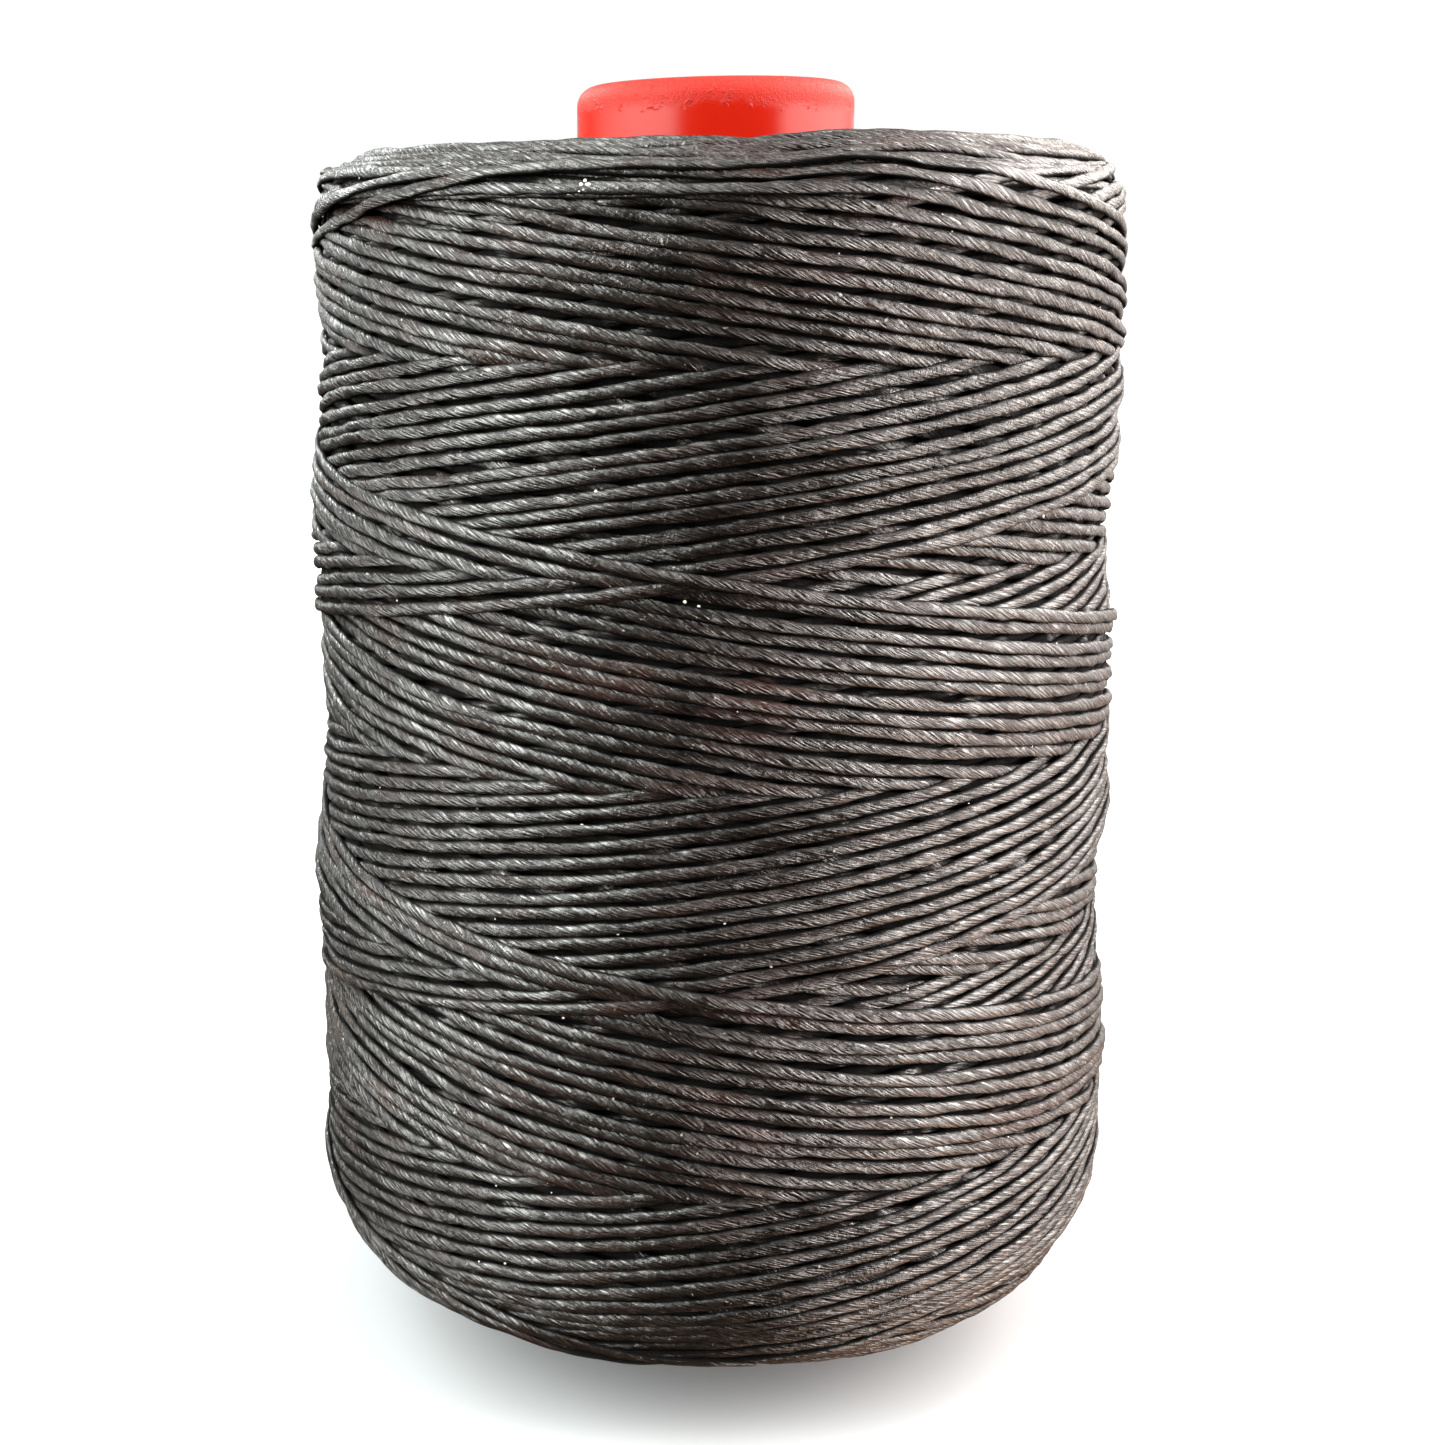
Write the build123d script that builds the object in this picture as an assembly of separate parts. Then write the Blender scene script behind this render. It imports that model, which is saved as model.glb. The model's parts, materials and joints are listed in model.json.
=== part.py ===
"""Spool of waxed braided thread for hand-sewing leather.

A moulded plastic tube carries one long thread, cross-wound on it from end to end.
The first few turns lie side by side on the tube and lock the thread's inner end.
Everything after that is laid over them, layer upon layer, and comes off the same way.
The thread is split here into the layers that a spool shows as it is used up, so that
a half-used spool is this one without its outer layers.

Frame: millimetres, +Z along the tube, origin at the middle of the tube's lower rim,
so the spool stands on Z = 0.
"""
from build123d import *
import os

# ---- the moulded core tube ----
TUBE_LENGTH = 108.0
TUBE_OUTER_D = 24.0
TUBE_WALL = 2.5
LIP_ROUND_OUTSIDE = 1.6      # the wide, soft lip that the thread can slide over
LIP_ROUND_INSIDE = 0.3       # only breaks the edge of the bore

# ---- the wound thread as a whole ----
WINDING_D = 70.0
BARE_TUBE_END = 6.0          # tube that stands clear of the thread at each end
SHOULDER_IN = 6.0            # how far each shoulder curves in towards the tube
SHOULDER_DOWN = 8.5          # how far each shoulder runs along the side

# ---- the layers, from the tube outwards ----
INNER_LAYERS_D = 38.0        # a nearly empty spool
MIDDLE_LAYERS_D = 54.0       # nearly half of the thread is outside this

# ---- the first turns, which lock the thread's end on the tube ----
ANCHOR_LENGTH = 14.0
ANCHOR_DEPTH = 1.0           # two thicknesses of the flat thread
ANCHOR_SETBACK = 10.0        # from the lower end of the winding

# ---- radii and heights that follow from the sizes above ----
TUBE_R = TUBE_OUTER_D / 2
BORE_R = TUBE_R - TUBE_WALL
WINDING_R = WINDING_D / 2
WINDING_BASE_Z = BARE_TUBE_END
WINDING_TOP_Z = TUBE_LENGTH - BARE_TUBE_END
ANCHOR_R = TUBE_R + ANCHOR_DEPTH
ANCHOR_BASE_Z = WINDING_BASE_Z + ANCHOR_SETBACK


def sleeve(inner_r, outer_r, base_z, top_z):
    """A plain round sleeve about the tube's axis."""
    height = top_z - base_z
    wall = Cylinder(outer_r, height) - Cylinder(inner_r, height)
    return Pos(0, 0, (base_z + top_z) / 2) * wall


def core_tube():
    """Round tube, open right through, with a rounded lip at both ends."""
    with BuildPart() as tube:
        with BuildSketch(Plane.XZ) as wall:
            with Locations(((TUBE_R + BORE_R) / 2, TUBE_LENGTH / 2)):
                Rectangle(TUBE_WALL, TUBE_LENGTH)
            fillet(wall.vertices().group_by(Axis.X)[-1], LIP_ROUND_OUTSIDE)
            fillet(wall.vertices().group_by(Axis.X)[0], LIP_ROUND_INSIDE)
        revolve(axis=Axis.Z)
    return tube.part


def whole_winding():
    """The full package of thread: flat ends, straight side, elliptical shoulders."""
    flat_r = WINDING_R - SHOULDER_IN
    side_low_z = WINDING_BASE_Z + SHOULDER_DOWN
    side_high_z = WINDING_TOP_Z - SHOULDER_DOWN
    with BuildPart() as package:
        with BuildSketch(Plane.XZ):
            with BuildLine():
                Polyline((flat_r, WINDING_BASE_Z), (TUBE_R, WINDING_BASE_Z),
                         (TUBE_R, WINDING_TOP_Z), (flat_r, WINDING_TOP_Z))
                EllipticalCenterArc((flat_r, side_high_z), SHOULDER_IN, SHOULDER_DOWN,
                                    start_angle=0, arc_size=90)
                Line((WINDING_R, side_high_z), (WINDING_R, side_low_z))
                EllipticalCenterArc((flat_r, side_low_z), SHOULDER_IN, SHOULDER_DOWN,
                                    start_angle=270, arc_size=90)
            make_face()
        revolve(axis=Axis.Z)
    return package.part


def anchor_turns():
    """Close turns in one short band, wound straight on the tube."""
    return sleeve(TUBE_R, ANCHOR_R, ANCHOR_BASE_Z, ANCHOR_BASE_Z + ANCHOR_LENGTH)


def thread_layers():
    """The package cut at the layer diameters. The inner layers bury the anchor turns."""
    package = whole_winding()
    inner_r = INNER_LAYERS_D / 2
    middle_r = MIDDLE_LAYERS_D / 2
    return {
        "inner_layers": (package & sleeve(TUBE_R, inner_r, WINDING_BASE_Z, WINDING_TOP_Z))
        - anchor_turns(),
        "middle_layers": package & sleeve(inner_r, middle_r, WINDING_BASE_Z, WINDING_TOP_Z),
        "outer_layers": package - sleeve(BORE_R, middle_r, WINDING_BASE_Z, WINDING_TOP_Z),
    }


pieces = {"core_tube": core_tube(), "anchor_turns": anchor_turns(), **thread_layers()}

os.makedirs("parts", exist_ok=True)
for name, solid in pieces.items():
    export_step(solid, f"parts/{name}.step")
    print(f"{name}: {solid.volume / 1000:.1f} cm3")
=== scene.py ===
# %% [markdown]
# # A spool of waxed thread
#
# This lesson builds a leatherworker's spool: one long, flat, waxed braided thread, cross-wound on a
# red moulded tube. The thread is what everyone looks at, so most of the work is in laying it the way
# a winding machine does, turn over turn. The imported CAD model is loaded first. It gives the sizes of
# the tube and of the wound layers.

# %% Load the frame
import json
import math

import bpy
import numpy as np
from mathutils import Matrix, Vector


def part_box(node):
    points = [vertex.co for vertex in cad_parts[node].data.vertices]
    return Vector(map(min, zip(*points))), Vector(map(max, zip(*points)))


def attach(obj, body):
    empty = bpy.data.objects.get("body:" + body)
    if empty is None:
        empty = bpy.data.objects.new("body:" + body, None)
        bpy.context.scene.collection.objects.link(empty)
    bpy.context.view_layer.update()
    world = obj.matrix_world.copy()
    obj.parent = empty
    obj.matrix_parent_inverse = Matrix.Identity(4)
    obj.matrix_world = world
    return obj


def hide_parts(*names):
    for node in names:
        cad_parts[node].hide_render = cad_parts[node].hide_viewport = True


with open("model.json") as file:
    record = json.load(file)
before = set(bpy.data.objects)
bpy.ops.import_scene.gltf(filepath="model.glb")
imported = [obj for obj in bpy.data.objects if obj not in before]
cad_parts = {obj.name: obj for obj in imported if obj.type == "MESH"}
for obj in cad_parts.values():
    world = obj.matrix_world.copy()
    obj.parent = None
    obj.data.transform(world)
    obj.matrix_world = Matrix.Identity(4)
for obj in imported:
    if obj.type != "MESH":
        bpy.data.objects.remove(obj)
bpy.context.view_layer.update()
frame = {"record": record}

MM = 0.001
tube_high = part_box("core_tube")[1]
pack_low, pack_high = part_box("outer_layers")
middle_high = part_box("middle_layers")[1]
inner_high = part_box("inner_layers")[1]
anchor_low, anchor_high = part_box("anchor_turns")

TUBE_R = tube_high.x / MM
TUBE_LENGTH = tube_high.z / MM
PACK_R = pack_high.x / MM
PACK_BASE = pack_low.z / MM
PACK_TOP = pack_high.z / MM
MIDDLE_R = middle_high.x / MM
INNER_R = inner_high.x / MM
BORE_R = next(m for m in frame["record"]["mounts"] if m["name"] == "spindle_bore")["dims"]["r_mm"]
print(f"tube {2 * TUBE_R:.1f} x {TUBE_LENGTH:.1f} mm")
print(f"winding {2 * PACK_R:.1f} x {PACK_TOP - PACK_BASE:.1f} mm")

# %% [markdown]
# ## The shape of the package
#
# A machine-wound package without flanges has flat ends, a straight side and soft shoulders, where the
# thread turns back and slips a little inwards. The thread's route is planned on the unrolled surface
# of that shape: one coordinate runs along the profile (`run`, in millimetres from the middle of the
# side, up positive) and the other runs round the axis. A table turns `run` into a radius and a height.

# %% The profile of the package
SHOULDER_IN = 6.0            # mm, how far the shoulder curves in
SHOULDER_DOWN = 8.5          # mm, how far it runs along the side
PACK_MIDDLE = (PACK_BASE + PACK_TOP) / 2
SIDE_HALF = (PACK_TOP - PACK_BASE) / 2 - SHOULDER_DOWN


def profile_table(steps=400):
    """Half of the outline, from the middle of the side over the shoulder and in to the tube."""
    turn = np.linspace(0, math.pi / 2, steps)
    radius = np.concatenate([[PACK_R], PACK_R - SHOULDER_IN + SHOULDER_IN * np.cos(turn), [TUBE_R]])
    height = np.concatenate([[0], SIDE_HALF + SHOULDER_DOWN * np.sin(turn), [SIDE_HALF + SHOULDER_DOWN]])
    run = np.concatenate([[0], np.cumsum(np.hypot(np.diff(radius), np.diff(height)))])
    return run, radius, height


RUN_TABLE, RADIUS_TABLE, HEIGHT_TABLE = profile_table()
RUN_SHOULDER_END = RUN_TABLE[-2]


def on_profile(run):
    """Radius, height and outward normal (radial, upward) at a run along the profile, in mm."""
    away = np.abs(run)
    step = 0.05
    radius = np.interp(away, RUN_TABLE, RADIUS_TABLE)
    height = np.interp(away, RUN_TABLE, HEIGHT_TABLE)
    further, nearer = away + step, away - step
    ahead_r = np.interp(further, RUN_TABLE, RADIUS_TABLE) - np.interp(nearer, RUN_TABLE, RADIUS_TABLE)
    ahead_z = np.interp(further, RUN_TABLE, HEIGHT_TABLE) - np.interp(nearer, RUN_TABLE, HEIGHT_TABLE)
    ahead_z = np.where(away < step, 1.0, ahead_z)
    size = np.hypot(ahead_r, ahead_z)
    side = np.where(run < 0, -1.0, 1.0)
    return radius, PACK_MIDDLE + side * height, ahead_z / size, -side * ahead_r / size


print(f"half of the profile runs {RUN_SHOULDER_END:.1f} mm to the end of the shoulder")

# %% [markdown]
# ## Laying the thread
#
# A winder turns the tube while a guide carries the thread up and down. Here the thread climbs three
# turns, turns back and comes down three turns, and each cycle starts one thread's width further round.
# Threads of the same direction end up side by side in bands, and where a rising band meets a falling
# one they form the V-shaped lines that such spools show. The guide's stroke varies a little from cycle
# to cycle, which keeps the shoulders soft.
#
# To know which thread lies on top, the surface is kept as a height map on the unrolled package. Each
# pass rests on what is under it, is pulled smooth by its tension, and is then added to the map.

# %% The winding machine
THREAD_WIDTH = 1.16          # mm
THREAD_THICKNESS = 0.52      # mm
THREAD_PITCH = 1.24          # mm, from one turn to its neighbour
TURNS_PER_PASS = 3
PAST_THE_SIDE = 7.9          # mm that a full stroke goes past the straight side, over the shoulder
CLIMB = (2 * (SIDE_HALF + PAST_THE_SIDE)) / TURNS_PER_PASS      # mm up the side in one turn
CYCLES = 34                  # enough to cover the package one and a third times
STROKE_SHORTER = 3.2         # mm, the most that a stroke ends early
LAY_STEP = 0.5               # mm along the thread
MAP_CELL = 0.25              # mm along the profile
MAP_ROUND = 440              # cells round the package
TURN_SOFTNESS = 0.5          # mm over which the guide turns back
PROBES = (-0.42, -0.21, 0.0, 0.21, 0.42)     # places across a thread, as shares of its width
ON_THE_HIGHEST = 0.45        # how much a thread rests on the highest place under it, and not the mean
BRIDGED = 0.12               # mm that a taut thread can hang clear of a hollow
FLATTENED = (0.80, 0.62)     # share of its thickness that it keeps on the side and on the shoulder
LEAN_SHARE = 0.5             # how far it leans over against what is beside it

rng = np.random.default_rng(25)
run_limit = RUN_SHOULDER_END + 2.0
height_map = np.zeros((int(2 * run_limit / MAP_CELL) + 1, MAP_ROUND))


def smooth_noise(length, spacing, size):
    """A gentle random wander, one value for each lay step, with a bend about every `spacing` mm."""
    knots = max(int(length * LAY_STEP / spacing) + 4, 5)
    rough = rng.normal(0, size, knots)
    place = np.linspace(0, knots - 1.001, length)
    low = place.astype(int)
    blend = place - low
    blend = blend * blend * (3 - 2 * blend)
    return rough[low] * (1 - blend) + rough[np.minimum(low + 1, knots - 1)] * blend


def pulled_smooth(values, reach):
    """Tension takes out short bumps: a running weighted mean over `reach` lay steps each way."""
    weights = np.hanning(2 * reach + 3)[1:-1]
    weights /= weights.sum()
    return np.convolve(np.pad(values, reach, mode="edge"), weights, mode="valid")


def soft_least(value, limit, softness):
    """The smaller of the two, with a rounded change from one to the other."""
    gap = (limit - value) / softness
    return limit - softness * np.logaddexp(0, gap)


def map_cells(run, around):
    """Row and column of the height map for a run in mm and an angle."""
    row = np.clip(((run + run_limit) / MAP_CELL + 0.5).astype(int), 0, height_map.shape[0] - 1)
    column = (np.round(around / (2 * math.pi) * MAP_ROUND).astype(int)) % MAP_ROUND
    return row, column


def lay_pass(number, start_angle, stroke_low, stroke_high, from_height):
    """One trip of the guide. Returns angle, run, height and tilt of the thread at each lay step."""
    upward = number % 2 == 0
    steps = PASS_STEPS
    angle = start_angle + np.linspace(0, TURNS_PER_PASS * 2 * math.pi + HALF_SHIFT, steps)
    travelled = (angle - start_angle) / (2 * math.pi) * CLIMB
    run = -HALF_STROKE + travelled if upward else HALF_STROKE - travelled
    run = soft_least(run, stroke_high, TURN_SOFTNESS)
    run = -soft_least(-run, -stroke_low, TURN_SOFTNESS)
    run = run + wander[number * (steps - 1):][:steps]
    samples = []
    for across in PROBES:
        samples.append(height_map[map_cells(run + across * THREAD_WIDTH, angle)])
    samples = np.array(samples)
    under = ON_THE_HIGHEST * samples.max(0) + (1 - ON_THE_HIGHEST) * samples.mean(0)
    rest = pulled_smooth(under, 4)
    rest = np.maximum(rest, under - BRIDGED)
    squeeze = np.interp(np.abs(run), [SIDE_HALF - 3, SIDE_HALF + 3], FLATTENED)
    centre = pulled_smooth(rest, 2) + THREAD_THICKNESS / 2 * squeeze
    carried = np.linspace(1, 0, CARRY_STEPS)
    centre[:CARRY_STEPS] += (from_height - centre[0]) * carried
    slope = (samples[-1] - samples[0]) / ((PROBES[-1] - PROBES[0]) * THREAD_WIDTH)
    tilt = pulled_smooth(slope, 5) * LEAN_SHARE
    for across in np.linspace(-0.5, 0.5, 7):
        back = centre + THREAD_THICKNESS / 2 * math.sqrt(1 - across * across * 2.6) * squeeze
        np.maximum.at(height_map, map_cells(run + across * THREAD_WIDTH, angle), back)
    return angle, run, centre, tilt


HALF_STROKE = TURNS_PER_PASS * CLIMB / 2 + THREAD_PITCH / 4
HALF_SHIFT = math.pi * THREAD_PITCH / CLIMB
PASS_STEPS = int(TURNS_PER_PASS * 2 * math.pi * PACK_R / LAY_STEP) + 1
CARRY_STEPS = 16             # the height carries over from pass to pass within 8 mm
FIRST_ANGLE = -(2 * CYCLES - 1) * HALF_SHIFT
thread_steps = 2 * CYCLES * PASS_STEPS
wander = (smooth_noise(thread_steps, 60, 0.09) + smooth_noise(thread_steps, 14, 0.10)
          + smooth_noise(thread_steps, 5, 0.03))

passes = []
stroke_low, stroke_high, last_height = -HALF_STROKE, HALF_STROKE, THREAD_THICKNESS / 2
for number in range(2 * CYCLES):
    if number % 2 == 0:
        stroke_high = HALF_STROKE - 0.9 - rng.uniform(0, STROKE_SHORTER)
    else:
        stroke_low = -HALF_STROKE + 0.3 + rng.uniform(0, STROKE_SHORTER) * 0.5
    laid = lay_pass(number, FIRST_ANGLE + number * HALF_SHIFT, stroke_low, stroke_high, last_height)
    last_height = laid[2][-1]
    passes.append(laid)
settled = np.percentile(height_map, 80, axis=1)
settled = pulled_smooth(settled, 16)
SETTLED_RUNS = np.arange(len(settled)) * MAP_CELL - run_limit
SETTLED_HEIGHT = float(settled[len(settled) // 2])
highest = max(p[2].max() for p in passes)
print(f"{len(passes)} passes, {len(passes) * PASS_STEPS * LAY_STEP / 1000:.1f} m of thread,"
      f" highest {highest:.2f} mm, settled at {SETTLED_HEIGHT:.2f} mm on the side")

# %% [markdown]
# ## From a route to a thread
#
# The route is a list of places on the package. A curve smooths it: a NURBS spline takes the places as
# control points, and a mesh read back from the bare curve gives evenly flowing points. Round those a
# flat section is swept in one go with numpy, which is quick enough for fifty metres of thread. The
# section is wider than it is thick, its corners are soft, and three strands show as low swellings that
# wind slowly round it. The map of the surface (UV) runs along the thread in millimetres and once
# round it, so that the fibres of the material can follow the twist.

# %% Reading a smooth line from a spline
def smooth_line(points_mm, resolution=2):
    """Points of a NURBS spline that follows the given points. Both are in mm."""
    curve = bpy.data.curves.new("route", "CURVE")
    curve.dimensions = "3D"
    curve.resolution_u = resolution
    spline = curve.splines.new("NURBS")
    spline.points.add(len(points_mm) - 1)
    spline.points.foreach_set("co", np.column_stack([points_mm, np.ones(len(points_mm))]).ravel())
    spline.order_u = 3
    spline.use_endpoint_u = True
    holder = bpy.data.objects.new("route", curve)
    bpy.context.scene.collection.objects.link(holder)
    bpy.context.view_layer.update()
    mesh = bpy.data.meshes.new_from_object(holder.evaluated_get(bpy.context.evaluated_depsgraph_get()))
    line = np.zeros(len(mesh.vertices) * 3)
    mesh.vertices.foreach_get("co", line)
    bpy.data.objects.remove(holder)
    bpy.data.curves.remove(curve)
    bpy.data.meshes.remove(mesh)
    return line.reshape(-1, 3)


# %% Sweeping the thread's section along a line
SECTION_TURN = np.radians([-60, -8, 22, 50, 77, 103, 130, 158, 188, 240])
SECTION_SIDES = len(SECTION_TURN)      # most of the points are on the side that is seen
STRAND_TWIST = 4.8           # mm for one strand to go once round
UV_REPEAT = 240              # mm after which the length in the UV map starts again, to keep it exact
STRAND_SWELL = 0.07          # how far a strand swells out, as a share of the section


def thread_surface(line, outward, width, thickness, start_length=0.0, turn=SECTION_TURN):
    """Corners, faces and UVs of one closed length of thread. `outward` points away from what it lies on."""
    sides = len(turn)
    ahead = np.gradient(line, axis=0)
    ahead /= np.linalg.norm(ahead, axis=1)[:, None]
    across = np.cross(outward, ahead)
    across /= np.linalg.norm(across, axis=1)[:, None]
    outward = np.cross(ahead, across)
    length = start_length + np.concatenate([[0], np.cumsum(np.linalg.norm(np.diff(line, axis=0), axis=1))])
    squarer = (np.abs(np.cos(turn)) ** 2.3 + np.abs(np.sin(turn)) ** 2.3) ** (-1 / 2.3)
    strand = 1 + STRAND_SWELL * np.cos(3 * turn[None, :] - 2 * math.pi * length[:, None] / STRAND_TWIST)
    side = (width / 2)[:, None] * np.cos(turn) * squarer * strand
    back = (thickness / 2)[:, None] * np.sin(turn) * squarer * strand
    corners = line[:, None, :] + side[..., None] * across[:, None, :] + back[..., None] * outward[:, None, :]
    rings = len(line)
    first = (np.arange(rings - 1)[:, None] * sides + np.arange(sides)).ravel()
    second = (np.arange(rings - 1)[:, None] * sides + np.roll(np.arange(sides), -1)).ravel()
    quads = np.column_stack([first, first + sides, second + sides, second])
    around = (turn - turn[0]) / (2 * math.pi)
    start_u = length[:-1] % UV_REPEAT
    low_u = np.repeat(start_u, sides)
    high_u = np.repeat(start_u + np.diff(length), sides)
    low_v = np.tile(around, rings - 1)
    high_v = np.tile(np.append(around[1:], 1.0), rings - 1)
    uv = np.stack([np.column_stack(pair) for pair in
                   ((low_u, low_v), (high_u, low_v), (high_u, high_v), (low_u, high_v))], axis=1)
    return corners.reshape(-1, 3), quads, uv.reshape(-1, 2), length[-1]


def mesh_from_lengths(name, lengths, sides=SECTION_SIDES):
    """One object from several swept lengths, with their ends closed."""
    corners, quads, uvs, tones, caps, count = [], [], [], [], [], 0
    for points, faces, uv, tone in lengths:
        corners.append(points)
        quads.append(faces + count)
        uvs.append(uv)
        tones.append(np.tile((tone, 0, 0), (len(points), 1)) if np.isscalar(tone) else tone)
        end = count + len(points) - sides
        caps.append(np.arange(count, count + sides))
        caps.append(np.arange(end, end + sides)[::-1])
        count += len(points)
    corners, quads, uvs = np.concatenate(corners) * MM, np.concatenate(quads), np.concatenate(uvs)
    caps = np.concatenate(caps)
    mesh = bpy.data.meshes.new(name)
    mesh.vertices.add(len(corners))
    mesh.vertices.foreach_set("co", corners.ravel())
    mesh.loops.add(quads.size + caps.size)
    mesh.loops.foreach_set("vertex_index", np.concatenate([quads.ravel(), caps]))
    starts = np.concatenate([np.arange(len(quads)) * 4,
                             quads.size + np.arange(len(caps) // sides) * sides])
    mesh.polygons.add(len(starts))
    mesh.polygons.foreach_set("loop_start", starts)
    mesh.polygons.foreach_set("use_smooth", np.ones(len(starts), bool))
    layer = mesh.uv_layers.new(name="along_thread")
    layer.data.foreach_set("uv", np.concatenate([uvs, np.zeros((caps.size, 2))]).ravel())
    tone = mesh.attributes.new("tone_and_painted_shade", "FLOAT_VECTOR", "POINT")
    tone.data.foreach_set("vector", np.concatenate(tones).astype(np.float32).ravel())
    mesh.update(calc_edges=True)
    mesh.validate()
    piece = bpy.data.objects.new(name, mesh)
    bpy.context.scene.collection.objects.link(piece)
    print(f"{name}: {len(quads) * 2 + caps.size} triangles")
    return piece


# %% [markdown]
# ## The outer turns
#
# The whole winding would be one object of well over a million triangles. It is cut into eight lengths,
# oldest first, so that each stays a handy size. Each keeps the machine's route, its rest height and its lean
# against the neighbouring turn.

# %% Put the outer turns on the package
CONTROL_EVERY = 4            # lay steps between control points
PASSES_PER_PIECE = 9
ROUTE_RESOLUTION = 3         # rings of the section for each control point
OVERLAP = 14                 # lay steps that a piece goes on inside the next one
END_TAPER = 6                # rings over which a piece's ends shrink
SEEN_WIDTH = 1.01            # mm, across the middle of a thread that swells and shrinks
SEEN_THICKNESS = 0.74        # mm
SHOULDER_KEEPS = 0.8         # share of the thickness that is left on the shoulder
WIDTH_SWELLS = (0.06, 0.065)         # shares: slow and quick swellings
THICKNESS_SWELLS = (0.09, 0.07)
SIDE_WANDERS = (0.038, 0.016)        # mm: slow and quick
# How the package departs from true. Each swelling is (mm high, run at its middle, mm of spread).
FULL_SHOULDER = (0.65, 47.2, 3.3)
LOW_SWELLING = (0.5, -30, 5)
RIGHT_SHOULDER = (0.8, 44, 2.5)
SLACK_BELOW = 0.75           # mm that the lower shoulder is sunk
TUCKED_BELOW = 0.70          # mm that the lower end face comes back out
RIGHT_UP = 0.75              # mm that the upper right stands up
RIGHT_DOWN = 0.7             # mm that the lower right hangs down


def step_up(value, low, high):
    """0 up to low, 1 from high on, and a smooth climb between them."""
    share = np.clip((value - low) / (high - low), 0, 1)
    return share * share * (3 - 2 * share)


def swelling(run, height, middle, spread):
    return height * np.exp(-((run - middle) / spread) ** 2)


def placed(run, around, above):
    """Points in mm at a height above the profile, and the outward direction there. No package is true:
    this one is full at its upper shoulder, slack at its lower one, and stands up on its right."""
    radius, level, out_r, out_z = on_profile(run)
    turned = (around + math.pi) % (2 * math.pi) - math.pi
    on_right = step_up(turned, 0.0, 0.45) * (1 - step_up(turned, 2.0, 2.8))
    above = above + swelling(run, *FULL_SHOULDER) + swelling(run, *LOW_SWELLING)
    above = above + on_right * swelling(run, *RIGHT_SHOULDER)
    above = above - SLACK_BELOW * step_up(-run, 40, 45) + TUCKED_BELOW * step_up(-run, 47, 52)
    radius = radius + out_r * above
    stretch = RIGHT_UP * step_up(run, 34, 46) - RIGHT_DOWN * step_up(-run, 42, 48)
    level = level + out_z * above + on_right * stretch
    points = np.column_stack([radius * np.sin(around), -radius * np.cos(around), level])
    outward = np.column_stack([out_r * np.sin(around), -out_r * np.cos(around), out_z])
    return points, outward


def above_profile(run, height):
    """The height map's zero is the buried body. Most turns' backs settle on the profile."""
    return height - np.interp(run, SETTLED_RUNS, np.maximum(settled, 0.9))


def spaced(values, count):
    """The values read at `count` even places."""
    return np.interp(np.linspace(0, len(values) - 1, count), np.arange(len(values)), values)


def length_of_thread(angle, run, height, tilt, tone, start_length):
    """A swept length of the laid thread, and how many mm of thread there are at its end."""
    picked = np.unique(np.append(np.arange(0, len(angle), CONTROL_EVERY), len(angle) - 1))
    points, outward = placed(run[picked], angle[picked], above_profile(run[picked], height[picked]))
    line = smooth_line(points, ROUTE_RESOLUTION)
    count = len(line)
    outward = np.column_stack([spaced(column, count) for column in outward.T])
    lean = spaced(tilt[picked], count)
    towards = np.gradient(line, axis=0)
    across = np.cross(towards, outward)
    across /= np.linalg.norm(across, axis=1)[:, None]
    across *= np.where(across[:, 2] < 0, -1, 1)[:, None]
    outward = outward - lean[:, None] * across
    outward /= np.linalg.norm(outward, axis=1)[:, None]
    away = np.abs(spaced(run[picked], count))
    squeeze = np.interp(away, [SIDE_HALF - 3, SIDE_HALF + 4], [1.0, SHOULDER_KEEPS])
    slow, quick = WIDTH_SWELLS
    width = SEEN_WIDTH * (1 + slow * bumps(count, 5) + quick * bumps(count, 2))
    slow, quick = THICKNESS_SWELLS
    thickness = SEEN_THICKNESS * (1 + slow * bumps(count, 4) + quick * bumps(count, 2)) * squeeze
    slow, quick = SIDE_WANDERS
    line = line + across * (slow * bumps(count, 5) + quick * bumps(count, 2))[:, None]
    ends = np.clip(np.minimum(np.arange(count), np.arange(count)[::-1]) / END_TAPER, 0.15, 1) ** 0.4
    width, thickness = width * ends, thickness * ends
    corners, quads, uv, end = thread_surface(line, outward, width, thickness, start_length)
    # Painted shade: how deep the thread lies between two others, kept for the material to darken its colour.
    depth = spaced(sunk_between(run, angle, height), count)
    own = np.column_stack([spaced(tone, count), depth, np.zeros(count)])
    return (corners, quads, uv, np.repeat(own, SECTION_SIDES, axis=0)), end


def sunk_between(run, angle, height):
    """1 where a thread lies deep between two others, and 0 where it lies open. The material paints shade from
    it.
    """
    top = height + THREAD_THICKNESS / 2 * 0.8
    below, above = (height_map[map_cells(run + side * 0.65, angle)] for side in (-1, 1))
    return step_up(np.minimum(below, above) - top, 0.10, 0.35)


def bumps(count, spacing):
    """Irregular swellings, about one for every `spacing` points of the line."""
    rough = rng.normal(0, 1, count // spacing + 3)
    return np.interp(np.arange(count) / spacing, np.arange(len(rough)), rough).clip(-2, 2)


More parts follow.
